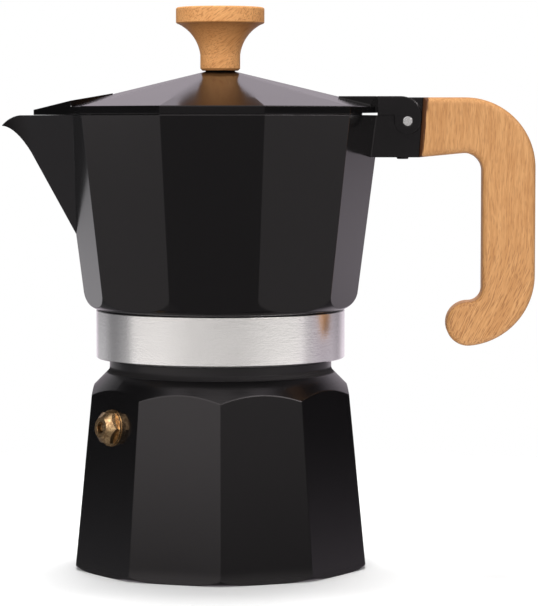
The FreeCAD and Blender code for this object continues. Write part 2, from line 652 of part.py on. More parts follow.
def make_filter_funnel():
    """Flange, basket, ledge and cone, drawn from one sheet, with a sleeve for the stem."""
    body = new_body("filter_funnel")
    basket_inside = f"({BASKET_RADIUS} - funnel_sheet)"
    throat_foot = f"{CONE_FOOT} - funnel_throat"
    turned(body, "sheet", [
        ("funnel_flange_radius", "boiler_height"),
        ("funnel_flange_radius", FLANGE_TOP),
        (basket_inside, FLANGE_TOP),
        (basket_inside, SCREEN_SEAT),
        (f"{basket_inside} - screen_ledge", SCREEN_SEAT),
        ("funnel_stem_radius", CONE_FOOT),
        ("funnel_stem_radius", throat_foot),
        ("funnel_stem_radius + funnel_sheet", throat_foot),
        ("funnel_stem_radius + funnel_sheet", f"{CONE_FOOT} - funnel_sheet"),
        (f"{BASKET_RADIUS} - screen_ledge", f"{SCREEN_SEAT} - funnel_sheet"),
        (BASKET_RADIUS, f"{SCREEN_SEAT} - funnel_sheet"),
        (BASKET_RADIUS, "boiler_height"),
    ])
    return body


def make_funnel_tube():
    """The funnel's stem, pressed into its sleeve."""
    body = new_body("funnel_tube")
    turned(body, "tube", rectangle("funnel_stem_radius - funnel_sheet", "boiler_floor + funnel_stem_gap",
                                   "funnel_stem_radius", CONE_FOOT))
    return body


def make_funnel_screen():
    body = new_body("funnel_screen")
    edge = f"{BASKET_RADIUS} - funnel_sheet - screen_clearance"
    turned(body, "disc", rectangle("0", SCREEN_SEAT, edge, f"{SCREEN_SEAT} + screen_thickness"))
    perforate(body, SCREEN_SEAT, "screen_thickness", "screen_hole_pitch", SCREEN_RINGS)
    return body


def make_gasket():
    body = new_body("gasket")
    turned(body, "ring", rectangle("gasket_bore_radius", FLANGE_TOP,
                                   "seal_recess_radius - seal_clearance", GASKET_TOP))
    rounded(body, "soft_edges", "gasket_edge", lambda edge: len(edge.Vertexes) == 1)
    return body


def make_filter_plate():
    body = new_body("filter_plate")
    turned(body, "disc", rectangle("0", GASKET_TOP, "plate_radius", PLATE_TOP))
    perforate(body, GASKET_TOP, "plate_thickness", "plate_hole_pitch", PLATE_RINGS)
    return body


# Collar and collector


def make_collar_ring():
    """Turned ring: threaded bore below, counterbore for the collector's foot above."""
    body = new_body("collar_ring")
    counterbore = f"({COLLAR_TOP} - spigot_length)"
    bore = "thread_radius + thread_clearance"
    turned(body, "ring", [
        (bore, COLLAR_FOOT),
        ("collar_radius - collar_lip", COLLAR_FOOT),
        ("collar_radius", f"{COLLAR_FOOT} + collar_lip"),
        ("collar_radius", f"{COLLAR_TOP} - collar_lip"),
        ("collar_radius - collar_lip", COLLAR_TOP),
        ("spigot_radius", COLLAR_TOP),
        ("spigot_radius", counterbore),
        (bore, counterbore),
    ])
    return body


def spout_sections(body, name, shift):
    """V-shaped sections of the spout from inside the wall to its tip, shifted inwards.

    The keel is straight up to the second section, where the curved lip starts."""
    top = f"{RIM} + {OVERSHOOT}"
    lip_start = f"({SPOUT_REACH} - spout_lip_length)"
    root = "(collector_foot_radius - 2 * collector_wall)"
    inwards = f"({lip_start} - {root})"
    stations = [(root,
                 f"spout_lip_depth + spout_keel_slope * {inwards}",
                 f"spout_lip_width + spout_flare * {inwards}")]
    for step in range(LIP_STEPS + 1):
        share = step / LIP_STEPS
        left = (1 - share) ** LIP_CURVE
        stations.append((f"{lip_start} + {share} * spout_lip_length",
                         f"spout_tip_depth + {left} * (spout_lip_depth - spout_tip_depth)",
                         f"spout_tip_width + {left} * (spout_lip_width - spout_tip_width)"))
    sections = []
    for index, (reach, depth, width) in enumerate(stations):
        sketch = new_sketch(body, f"{name}_section_{index}", "YZ_Plane", f"{shift} - ({reach})")
        draw(sketch, [("0", f"{RIM} - ({depth})"), (width, top), (f"-({width})", top)])
        sections.append(sketch)
    return sections


def make_collector():
    """Ten flared sides on a turned foot, with a V spout, a hinge bracket and a spigot below."""
    body = new_body("collector")
    foot = new_sketch(body, "foot_corners", "XY_Plane", COLLAR_TOP)
    draw(foot, polygon("collector_foot_radius"))
    rim = new_sketch(body, "rim_corners", "XY_Plane", RIM)
    draw(rim, polygon("collector_rim_radius"))
    lofted(body, "facets", [foot, rim])

    flat = "(collar_radius - collar_lip - collector_foot_edge)"
    bulge = f"(collector_foot_radius + {COLLECTOR_FLARE} * collector_round)"
    turned(body, "foot_rounding", [
        (flat, COLLAR_TOP),
        (bulge, f"{COLLAR_TOP} + collector_round", "collector_round_radius"),
        ("collector_rim_radius", f"{COLLAR_TOP} + collector_round"),
        ("collector_rim_radius", f"{COLLAR_TOP} - {OVERSHOOT}"),
        (flat, f"{COLLAR_TOP} - {OVERSHOOT}"),
    ], cut=True)
    bored(body, "spigot", "XY_Plane", "0", "0", "spigot_radius", f"spigot_length + {OVERSHOOT}",
          f"{COLLAR_TOP} - spigot_length", cut=False)

    spout = spout_sections(body, "spout", "0")
    lofted(body, "spout_sides", spout[:2])
    lofted(body, "spout_lip", spout[1:], ruled=False)
    prism(body, "bracket", "XZ_Plane", [
        ("collector_rim_radius - bracket_sink", BRACKET_FOOT),
        (JOINT_FOOT, BRACKET_FOOT),
        (JOINT_TOP, HANDLE_TOP),
        (PIN_REACH, HANDLE_TOP),
        (PIN_REACH, RIM),
        ("collector_rim_radius - bracket_sink", RIM),
    ], "2 * bracket_half_width", both_sides=True)

    inner_foot = f"collector_foot_radius + {COLLECTOR_FLARE} * ({FLOOR_TOP} - {COLLAR_TOP})"
    wall = f"collector_wall / cos({HALF_FACET})"
    low = new_sketch(body, "floor_corners", "XY_Plane", FLOOR_TOP)
    draw(low, polygon(f"{inner_foot} - {wall}"))
    high = new_sketch(body, "mouth_corners", "XY_Plane", f"{RIM} + {OVERSHOOT}")
    draw(high, polygon(f"collector_rim_radius + {COLLECTOR_FLARE} * {OVERSHOOT} - {wall}"))
    lofted(body, "chamber", [low, high], cut=True)
    channel = spout_sections(body, "channel", "spout_channel_shift")
    lofted(body, "channel_sides", channel[:2], cut=True)
    lofted(body, "channel_lip", channel[1:], cut=True, ruled=False)

    # The spout's top line: level with the rim, then rounded down to the tip
    beyond = f"{SPOUT_REACH} + {OVERSHOOT}"
    prism(body, "spout_top_line", "XZ_Plane", [
        (f"spout_lip_curve - {SPOUT_REACH}", RIM),
        (f"-{SPOUT_REACH}", f"{RIM} - spout_tip_depth + spout_tip_height", "spout_lip_radius"),
        (f"-({beyond})", f"{RIM} - spout_tip_depth"),
        (f"-({beyond})", f"{RIM} + 3 * {OVERSHOOT}"),
        ("-mouth_radius", f"{RIM} + 3 * {OVERSHOOT}"),
        ("-mouth_radius", RIM),
    ], "2 * collector_rim_radius", cut=True, both_sides=True)

    turned(body, "seal_recess", [
        ("0", f"{COLLAR_TOP} - spigot_length - {OVERSHOOT}"),
        ("seal_recess_radius", f"{COLLAR_TOP} - spigot_length - {OVERSHOOT}"),
        ("seal_recess_radius", PLATE_TOP),
        ("coffee_space_radius", PLATE_TOP),
        ("coffee_space_radius - coffee_space_height", FLOOR_FOOT),
        ("0", FLOOR_FOOT),
    ], cut=True)
    bored(body, "riser_seat", "XY_Plane", "0", "0", "riser_spigot_radius",
          f"collector_floor + 2 * {OVERSHOOT}", f"{FLOOR_TOP} + {OVERSHOOT}")
    add_hinge_ears(body)
    return body


def add_hinge_ears(body):
    """Two ears with a lobe round the pin, the slot between them, and the tang's socket."""
    ear_back = f"({JOINT_TOP} - joint_lean * (handle_rise + pin_drop) / (handle_rise + bracket_depth))"
    corner = f"({ear_back} - ear_corner)"
    lobe_foot = f"({PIN_HEIGHT} - lobe_radius)"
    lobe_side = f"({PIN_REACH} - lobe_radius)"
    prism(body, "ears", "XZ_Plane", [
        (EAR_FRONT, RIM),
        (lobe_side, RIM),
        (lobe_side, PIN_HEIGHT),
        (PIN_REACH, lobe_foot, "lobe_radius"),
        (f"{PIN_REACH} + lobe_radius", PIN_HEIGHT, "lobe_radius"),
        (ear_back, PIN_HEIGHT),
        (ear_back, f"{EAR_TOP} - ear_corner"),
        (corner, EAR_TOP, "ear_corner"),
        (EAR_FRONT, EAR_TOP),
    ], "2 * ear_half_width", both_sides=True)
    slot_front = f"({PIN_REACH} - slot_length)"
    prism(body, "hinge_slot", "XZ_Plane", rectangle(
        slot_front, f"{PIN_HEIGHT} - knuckle_radius - knuckle_gap",
        f"{JOINT_TOP} + {OVERSHOOT}", f"{EAR_TOP} + {OVERSHOOT}"),
        "2 * slot_half_width", cut=True, both_sides=True)
    prism(body, "tongue_way", "XZ_Plane", rectangle(
        f"{EAR_FRONT} - {OVERSHOOT}", RIM, f"{slot_front} + {OVERSHOOT}", f"{EAR_TOP} + {OVERSHOOT}"),
        "2 * slot_half_width", cut=True, both_sides=True)
    bored(body, "pin_holes", "XZ_Plane", PIN_REACH, PIN_HEIGHT, "pin_radius",
          "4 * ear_half_width", both_sides=True)
    prism(body, "tang_socket", "XZ_Plane", rectangle(
        TANG_FRONT, TANG_FOOT, f"{JOINT_TOP} + {OVERSHOOT}", f"{TANG_FOOT} + tang_thickness"),
        "2 * tang_half_width", cut=True, both_sides=True)
    bored(body, "handle_screw_hole", "XY_Plane", HANDLE_SCREW, "0", "handle_screw_radius",
          f"tang_floor + {OVERSHOOT}", f"{TANG_FOOT} + {OVERSHOOT} / 2")


def make_riser_column():
    """Tapered column pressed into the floor, bored, closed at the top, with two windows."""
    body = new_body("riser_column")
    top = f"({FLOOR_TOP} + riser_height)"
    turned(body, "column", [
        ("riser_bore_radius", FLOOR_FOOT),
        ("riser_spigot_radius", FLOOR_FOOT),
        ("riser_spigot_radius", FLOOR_TOP),
        ("riser_foot_radius", FLOOR_TOP),
        ("riser_top_radius", f"{top} - riser_cap"),
        ("riser_top_radius - riser_cap_inset", top, "riser_cap"),
        ("0", top),
        ("0", f"{top} - riser_cap"),
        ("riser_bore_radius", f"{top} - riser_cap"),
    ])
    window_top = f"({top} - riser_cap)"
    window_foot = f"{window_top} - riser_window_height"
    prism(body, "windows", "XZ_Plane", rectangle(
        "-riser_window_width / 2", window_foot, "riser_window_width / 2", window_top),
        "4 * riser_foot_radius", cut=True, both_sides=True)
    return body


# Handle


def make_hinge_pin():
    body = new_body("hinge_pin")
    bored(body, "pin", "XZ_Plane", PIN_REACH, PIN_HEIGHT, "pin_radius",
          "2 * (ear_half_width + pin_proud)", cut=False, both_sides=True)
    return body


def make_handle():
    """The wooden handle: an arm, an upright grip and a hook that turns inwards.

    Every stretch of its outline meets the next one at a tangent."""
    body = new_body("handle")
    inner = "(handle_reach - handle_grip)"
    crook_start = f"({inner} - handle_crook * (1 + sin(arm_slope)))"
    crook_top = f"({BRACKET_FOOT} + tan(arm_slope) * ({crook_start} - {JOINT_FOOT}))"
    bend_x = "(handle_reach - handle_bend)"
    bend_z = f"({HANDLE_FOOT} + handle_bend)"
    nose = "(handle_hook_depth / 2)"
    hook = f"({inner} - handle_hook_throw)"
    across = f"({hook} - {bend_x})"
    down = f"sqrt(pow(handle_bend - {nose}; 2) - pow({across}; 2))"
    nose_z = f"({bend_z} - {down})"
    hook_top = f"({nose_z} + {nose})"
    reach = f"(handle_bend / (handle_bend - {nose}))"
    prism(body, "blank", "XZ_Plane", [
        (JOINT_FOOT, BRACKET_FOOT),
        (crook_start, crook_top),
        (inner, f"{crook_top} - handle_crook * cos(arm_slope)", "-handle_crook"),
        (inner, f"{hook_top} + handle_heel"),
        (f"{inner} - handle_heel", hook_top, "-handle_heel"),
        (hook, hook_top),
        (f"{hook} - {nose}", nose_z, nose),
        (f"{bend_x} + {across} * {reach}", f"{bend_z} - {down} * {reach}", nose),
        ("handle_reach", bend_z, "handle_bend"),
        ("handle_reach", f"{HANDLE_TOP} - handle_shoulder"),
        ("handle_reach - handle_shoulder", HANDLE_TOP, "handle_shoulder"),
        (JOINT_TOP, HANDLE_TOP),
    ], "handle_thickness", both_sides=True)
    half = size("handle_thickness") / 2
    face = size(JOINT_TOP)

    def on_side(edge):
        box = edge.BoundBox
        return box.YMax - box.YMin < 1e-6 and abs(abs(box.YMax) - half) < 1e-6 and box.XMax > face

    rounded(body, "wood_edges", "handle_edge", on_side)
    prism(body, "tang_slot", "XZ_Plane", rectangle(
        f"{JOINT_FOOT} - {OVERSHOOT}", TANG_FOOT, TANG_BACK, f"{TANG_FOOT} + tang_thickness"),
        "2 * tang_half_width", cut=True, both_sides=True)
    return body


def make_handle_tang():
    """Steel bar that joins the wood to the bracket."""
    body = new_body("handle_tang")
    prism(body, "bar", "XZ_Plane", rectangle(
        TANG_FRONT, TANG_FOOT, TANG_BACK, f"{TANG_FOOT} + tang_thickness"),
          "2 * tang_half_width", both_sides=True)
    bored(body, "screw_hole", "XY_Plane", HANDLE_SCREW, "0", "handle_screw_radius",
          "tang_thickness", f"{TANG_FOOT} + tang_thickness")
    return body


def make_handle_screw():
    """Screw from below, through the bracket and the tang."""
    body = new_body("handle_screw")
    bored(body, "shank", "XY_Plane", HANDLE_SCREW, "0", "handle_screw_radius",
          "tang_floor + tang_thickness", BRACKET_FOOT, cut=False)
    bored(body, "head", "XY_Plane", HANDLE_SCREW, "0", "handle_screw_head_radius",
          "handle_screw_head", f"{BRACKET_FOOT} - handle_screw_head", cut=False)
    middle = size(f"{BRACKET_FOOT} - handle_screw_head / 2")
    rounded(body, "head_round", "handle_screw_round", lambda edge: edge.BoundBox.ZMax < middle)
    return body


# Lid


def make_lid():
    """Ten-sided shallow cone with an upright band, a beak over the spout and a hinge tongue."""
    body = new_body("lid")
    # Beak: a kite in plan under one sloping plane
    reach = f"({LID_RADIUS} + beak_overhang)"
    root = f"({LID_RADIUS} - beak_root_inset)"
    inner = f"({LID_RADIUS} - beak_inner_inset)"
    prism(body, "beak", "XY_Plane", [
        (f"-{reach}", "0"),
        (f"-{root}", "-beak_half_width"),
        (f"-{inner}", "0"),
        (f"-{root}", "beak_half_width"),
    ], "lid_height", height=LID_FOOT)
    slope_start = f"{LID_FOOT} + beak_tip"
    slope_end = f"{slope_start} + beak_slope * ({reach} - {inner})"
    prism(body, "beak_plane", "XZ_Plane", [
        (f"-{reach} - {OVERSHOOT}", f"{slope_start} - beak_slope * {OVERSHOOT}"),
        (f"{OVERSHOOT} - {inner}", f"{slope_end} + beak_slope * {OVERSHOOT}"),
        (f"{OVERSHOOT} - {inner}", f"{LID_TOP} + {OVERSHOOT}"),
        (f"-{reach} - {OVERSHOOT}", f"{LID_TOP} + {OVERSHOOT}"),
    ], "4 * beak_half_width", cut=True, both_sides=True)

    def corners(name, radius, height):
        sketch = new_sketch(body, name, "XY_Plane", height)
        draw(sketch, polygon(radius))
        return sketch

    band_top = f"{LID_FOOT} + lid_band"
    lofted(body, "cone", [corners("foot_corners", LID_RADIUS, LID_FOOT),
                          corners("band_corners", LID_RADIUS, band_top),
                          corners("boss_corners", "lid_boss_radius", LID_TOP)])
    thick = f"lid_wall / cos({HALF_FACET})"
    lofted(body, "hollow", [
        corners("inner_foot", f"{LID_RADIUS} - {thick}", f"{LID_FOOT} - {OVERSHOOT}"),
        corners("inner_band", f"{LID_RADIUS} - {thick}", f"{band_top} - lid_crease_wall"),
        corners("inner_boss", "lid_boss_radius", f"{LID_TOP} - lid_crown_wall")], cut=True)
    add_lid_lip(body)
    bored(body, "boss", "XY_Plane", "0", "0", "lid_boss_radius", "lid_boss_depth + knob_lift",
          f"{LID_TOP} - lid_boss_depth", cut=False)
    bored(body, "knob_screw_hole", "XY_Plane", "0", "0", "knob_screw_radius",
          "lid_height", f"{LID_TOP} + knob_lift")
    add_lid_hinge(body)
    return body


def add_lid_lip(body):
    """A lip inside the collector's rim, open at the spout."""
    outside = f"(collector_rim_radius - (collector_wall + lid_lip_clearance) / cos({HALF_FACET}))"
    ring = new_sketch(body, "lip_ring", "XY_Plane", f"{LID_FOOT} + lid_lip_root")
    draw(ring, polygon(outside))
    draw(ring, polygon(f"{outside} - lid_lip_wall / cos({HALF_FACET})"))
    extrude(body, "lip", ring, "lid_lip_root + lid_gap + lid_lip_drop", reverse=True)
    prism(body, "spout_gap", "XY_Plane", rectangle(
        f"-{LID_RADIUS}", "-lid_lip_notch", "0", "lid_lip_notch"),
        "lid_gap + lid_lip_drop", cut=True, height=LID_FOOT)


def add_lid_hinge(body):
    """Arm up to the ears, ended by a cylinder about the pin, and the tongue between the ears.

    The lid's edge and lip are relieved beside them."""
    swing = "(sqrt(pow(ear_length; 2) + pow(ear_rise + pin_drop; 2)) + lid_arm_gap)"
    prism(body, "arm", "XZ_Plane", [
        (f"{LID_RADIUS} - lid_arm_inset", f"{LID_FOOT} + lid_band"),
        (LID_ARM_FOOT, LID_FOOT),
        (LID_RADIUS, LID_FOOT),
        (LID_RADIUS, EAR_TOP),
        (f"{LID_RADIUS} - lid_arm_inset", EAR_TOP),
    ], "2 * ear_half_width", both_sides=True)
    bored(body, "swing_room", "XZ_Plane", PIN_REACH, PIN_HEIGHT, swing,
          "2 * ear_half_width + 4 * tongue_clearance", both_sides=True)
    width = "2 * (slot_half_width - tongue_clearance)"
    neck_top = f"({PIN_HEIGHT} + knuckle_radius)"
    prism(body, "tongue", "XZ_Plane", [
        (LID_ARM_FOOT, LID_FOOT),
        (f"{PIN_REACH} - tongue_neck", LID_FOOT),
        (f"{PIN_REACH} - knuckle_radius * cos(45)", f"{PIN_HEIGHT} - knuckle_radius * sin(45)"),
        (PIN_REACH, PIN_HEIGHT),
        (PIN_REACH, neck_top),
        (f"{PIN_REACH} - tongue_step", neck_top),
        (f"{PIN_REACH} - tongue_crest", EAR_TOP),
        (LID_ARM_FOOT, EAR_TOP),
    ], width, both_sides=True)
    bored(body, "knuckle", "XZ_Plane", PIN_REACH, PIN_HEIGHT, "knuckle_radius", width,
          cut=False, both_sides=True)
    bored(body, "pin_bore", "XZ_Plane", PIN_REACH, PIN_HEIGHT, "pin_radius + pin_clearance",
          "4 * ear_half_width", both_sides=True)
    prism(body, "relief", "XY_Plane", rectangle(
        f"{LID_RADIUS} - hinge_relief_inset", "-hinge_relief_half_width",
        f"{PIN_REACH} - tongue_crest", "hinge_relief_half_width"),
        "hinge_relief + lid_gap + lid_lip_drop", cut=True, height=f"{LID_FOOT} + hinge_relief")


def make_knob():
    """Turned wooden knob: a straight foot, a hollow neck and a thick disc."""
    body = new_body("knob")
    disc_foot = f"({KNOB_TOP} - knob_disc_height)"
    insert_top = f"({KNOB_FOOT} + knob_insert_length)"
    turned(body, "turning", [
        ("knob_insert_radius", KNOB_FOOT),
        ("knob_foot_radius - knob_edge", KNOB_FOOT),
        ("knob_foot_radius", f"{KNOB_FOOT} + knob_edge"),
        ("knob_foot_radius", f"{KNOB_FOOT} + knob_foot_height"),
        ("knob_disc_radius - knob_disc_step", f"{disc_foot} - knob_lower_edge", "-knob_hollow"),
        ("knob_disc_radius - knob_lower_edge", disc_foot),
        ("knob_disc_radius", f"{disc_foot} + knob_lower_edge"),
        ("knob_disc_radius", f"{KNOB_TOP} - knob_edge"),
        ("knob_disc_radius - knob_edge", KNOB_TOP, "knob_edge"),
        ("0", KNOB_TOP),
        ("0", insert_top),
        ("knob_insert_radius", insert_top),
    ])
    return body


def make_knob_insert():
    body = new_body("knob_insert")
    turned(body, "bush", rectangle("knob_screw_radius", KNOB_FOOT, "knob_insert_radius",
                                   f"{KNOB_FOOT} + knob_insert_length"))
    return body


def make_knob_screw():
    """Screw from under the lid, through its boss into the knob's insert."""
    body = new_body("knob_screw")
    seat = f"({LID_TOP} - lid_boss_depth)"
    turned(body, "screw", [
        ("0", f"{seat} - knob_screw_head"),
        ("knob_screw_head_radius - knob_screw_dome", f"{seat} - knob_screw_head"),
        ("knob_screw_head_radius", f"{seat} - knob_screw_head / 2", "knob_screw_head"),
        ("knob_screw_head_radius", seat),
        ("knob_screw_radius", seat),
        ("knob_screw_radius", f"{seat} + knob_screw_length"),
        ("0", f"{seat} + knob_screw_length"),
    ])
    return body


pieces = [make() for make in (
    make_boiler, make_valve_body, make_valve_washer, make_valve_cap, make_valve_plunger,
    make_valve_spring, make_filter_funnel, make_funnel_tube, make_funnel_screen, make_gasket,
    make_filter_plate, make_collar_ring, make_collector, make_riser_column, make_hinge_pin, make_handle,
    make_handle_tang, make_handle_screw, make_lid, make_knob, make_knob_insert, make_knob_screw)]
doc.recompute()

for item in doc.Objects:
    if "Invalid" in item.State or "Error" in item.State:
        raise RuntimeError(f"{item.Name} failed: {item.State}")
for piece in pieces:
    if piece.Shape.isNull() or not piece.Shape.isValid() or len(piece.Shape.Solids) != 1:
        raise RuntimeError(f"{piece.Label} is not one valid solid")

os.makedirs("parts", exist_ok=True)
for piece in pieces:
    piece.Shape.exportStep(f"parts/{piece.Label}.step")
    print(piece.Label, "volume", round(piece.Shape.Volume, 1))
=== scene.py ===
"""A ten-sided black moka pot with a wooden handle and knob, on a white studio floor.

Metres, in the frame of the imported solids: the spout points along -X and the handle along +X.
"""
import json
import math

import bmesh
import bpy
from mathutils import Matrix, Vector


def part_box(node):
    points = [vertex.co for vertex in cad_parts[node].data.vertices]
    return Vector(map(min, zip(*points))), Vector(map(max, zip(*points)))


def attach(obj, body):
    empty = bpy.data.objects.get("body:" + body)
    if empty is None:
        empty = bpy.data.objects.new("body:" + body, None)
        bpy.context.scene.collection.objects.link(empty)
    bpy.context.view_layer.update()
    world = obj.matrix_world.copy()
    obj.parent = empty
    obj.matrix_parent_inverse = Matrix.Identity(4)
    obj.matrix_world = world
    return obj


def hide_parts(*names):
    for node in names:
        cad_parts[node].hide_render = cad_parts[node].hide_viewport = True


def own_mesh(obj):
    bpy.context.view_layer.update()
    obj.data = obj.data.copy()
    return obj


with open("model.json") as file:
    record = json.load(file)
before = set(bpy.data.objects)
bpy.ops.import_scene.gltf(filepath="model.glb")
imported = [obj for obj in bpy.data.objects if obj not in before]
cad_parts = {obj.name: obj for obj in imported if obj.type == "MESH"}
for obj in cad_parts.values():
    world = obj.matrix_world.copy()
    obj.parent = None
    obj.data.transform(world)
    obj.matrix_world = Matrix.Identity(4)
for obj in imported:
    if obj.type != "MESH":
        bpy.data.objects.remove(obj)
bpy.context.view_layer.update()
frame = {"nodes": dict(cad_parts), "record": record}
nodes = frame["nodes"]

MM = 0.001

# Places on the pot that the finishes and the threads refer to
BOILER_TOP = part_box("boiler")[1].z
NECK_FOOT = BOILER_TOP - 9.6 * MM
THREAD_FOOT = BOILER_TOP - 7.01 * MM
TANK_FOOT = 2.0 * MM
TANK_FLOOR_TOP = 12 * MM
UNDERSIDE_RADIUS = 38 * MM
INNER_FLOOR_RADIUS = 39 * MM
HIDDEN_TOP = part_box("collar_ring")[1].z - 0.02 * MM
CHAMBER_FLOOR_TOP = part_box("riser_column")[0].z + 8.0 * MM
HINGE_WALL = 44.4 * MM
RIM_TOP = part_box("collector")[1].z - 5.5 * MM
LID_HOLLOW_FOOT = RIM_TOP + 0.3 * MM
LID_LIP_TOP = RIM_TOP + 2.6 * MM
LID_LIP_RADIUS = 44.6 * MM
BRACKET_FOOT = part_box("handle_tang")[0].z - 2.2 * MM
JOINT_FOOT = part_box("handle")[0].x
JOINT_SLOPE = 0.0663
KNOB_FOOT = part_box("knob")[0].z


# Shader nodes


class Value:
    """One output of a node. Python's operators on it add Math nodes; & and | give the lesser and
    the greater of two values."""

    def __init__(self, maker, socket):
        self.maker = maker
        self.socket = socket

    def maths(self, operation, first, second=0.0):
        return self.maker.node("ShaderNodeMath", {"operation": operation}, {0: first, 1: second})

    def __add__(self, other):
        return self.maths("ADD", self, other)

    __radd__ = __add__

    def __sub__(self, other):
        return self.maths("SUBTRACT", self, other)

    def __rsub__(self, other):
        return self.maths("SUBTRACT", other, self)

    def __mul__(self, other):
        return self.maths("MULTIPLY", self, other)

    __rmul__ = __mul__

    def __truediv__(self, other):
        return self.maths("DIVIDE", self, other)

    def __pow__(self, other):
        return self.maths("POWER", self, other)

    def __abs__(self):
        return self.maths("ABSOLUTE", self)

    def __lt__(self, other):
        return self.maths("LESS_THAN", self, other)

    def __gt__(self, other):
        return self.maths("GREATER_THAN", self, other)

    def __and__(self, other):
        return self.maths("MINIMUM", self, other)

    def __or__(self, other):
        return self.maths("MAXIMUM", self, other)


class Nodes:
    """A node tree that is filled by one method."""

    def __init__(self, tree):
        self.tree = tree
        self.tree.nodes.clear()

    def node(self, kind, settings=None, sockets=None, output=0):
        """Adds a node, sets its settings, then fills or links its sockets; gives one output."""
        made = self.tree.nodes.new(kind)
        for name, setting in (settings or {}).items():
            setattr(made, name, setting)
        for key, given in (sockets or {}).items():
            if isinstance(given, Value):
                self.tree.links.new(given.socket, made.inputs[key])
            else:
                made.inputs[key].default_value = given
        return Value(self, made.outputs[output]) if len(made.outputs) else None

    def split(self, vector):
        """The three parts of a vector."""
        parts = self.node("ShaderNodeSeparateXYZ", sockets={0: vector}).socket.node
        return [Value(self, output) for output in parts.outputs]

    def join(self, x, y, z):
        """A vector from its three parts."""
        return self.node("ShaderNodeCombineXYZ", sockets={0: x, 1: y, 2: z})

    def step(self, value, low, high):
        """0 at low, 1 at high, and a smooth change between them."""
        return self.node("ShaderNodeMapRange", {"interpolation_type": "SMOOTHSTEP"},
                         {0: value, 1: low, 2: high, 3: 0.0, 4: 1.0})

    def band(self, value, start, full, last, end):
        """1 from full to last, 0 before start and after end, and a smooth change between them."""
        return self.step(value, start, full) * self.step(value, end, last)

    def mix(self, factor, first, second):
        """A blend of two colours."""
        return self.node("ShaderNodeMix", {"data_type": "RGBA"}, {0: factor, 6: first, 7: second}, 2)

    def blend(self, factor, first, second):
        """A blend of two vectors."""
        return self.node("ShaderNodeMix", {"data_type": "VECTOR"}, {0: factor, 4: first, 5: second}, 1)

    def noise(self, vector, scale=1.0, detail=2.0, roughness=0.5, distortion=0.0):
        """A cloudy pattern from 0 to 1."""
        return self.node("ShaderNodeTexNoise", sockets={
            "Vector": vector, "Scale": scale, "Detail": detail, "Roughness": roughness,
            "Distortion": distortion})

    def stretched(self, vector, scale):
        """A vector with each part multiplied."""
        return self.node("ShaderNodeMapping", {"vector_type": "POINT"}, {0: vector, 3: scale})

    def rotated(self, vector, angles):
        """A vector turned about the three axes."""
        return self.node("ShaderNodeMapping", {"vector_type": "POINT"}, {0: vector, 2: angles})


class Finish(Nodes):
    """The material of one finish, on Object coordinates."""

    def __init__(self, name):
        self.material = bpy.data.materials.new(name)
        self.material.use_nodes = True
        super().__init__(self.material.node_tree)
        self.place = self.node("ShaderNodeTexCoord", output="Object")
        self.facing = self.node("ShaderNodeTexCoord", output="Normal")

    def bump(self, height, strength, distance, normal=None):
        """Normals that follow a relief."""
        sockets = {"Strength": strength, "Distance": distance, "Height": height}
        if normal:
            sockets["Normal"] = normal
        return self.node("ShaderNodeBump", sockets=sockets)

    def soft_edges(self, radius):
        """Normals that round the sharp edges of the solids."""
        return self.node("ShaderNodeBevel", {"samples": 6}, {"Radius": radius})

    def surface(self, **sockets):
        """Ends the material in one Principled shader."""
        named = {key.replace("_", " "): given for key, given in sockets.items()}
        shader = self.node("ShaderNodeBsdfPrincipled", sockets=named)
        self.node("ShaderNodeOutputMaterial", sockets={"Surface": shader})
        return self.material


class Spot:
    """A point of a casting: its place, its distance from the pot's axis and the way it faces."""

    def __init__(self, finish):
        self.x, y, self.z = finish.split(finish.place)
        nx, ny, self.up = finish.split(finish.facing)
        self.radius = (self.x * self.x + y * y) ** 0.5
        self.outwards = (self.x * nx + y * ny) / (self.radius | 1e-5)


# Coated castings

COATING = (0.0030, 0.0028, 0.0030, 1.0)
COATING_GLINT = (1.0, 0.955, 0.99, 1.0)
CAST_ALUMINIUM = (0.60, 0.60, 0.60, 1.0)
CASTING_IOR = 1.52
LID_IOR = 1.42
CASTING_EDGE = 0.45 * MM
CROWN_EDGE = 4.0 * MM
FOOT_FADE = (4.5 * MM, 0.5 * MM)
NECK_FADE = (NECK_FOOT, NECK_FOOT + 0.8 * MM)
CORNER_FADE = (33.5 * MM, 33.0 * MM)
CROWN_FADE = (39 * MM, 35 * MM)


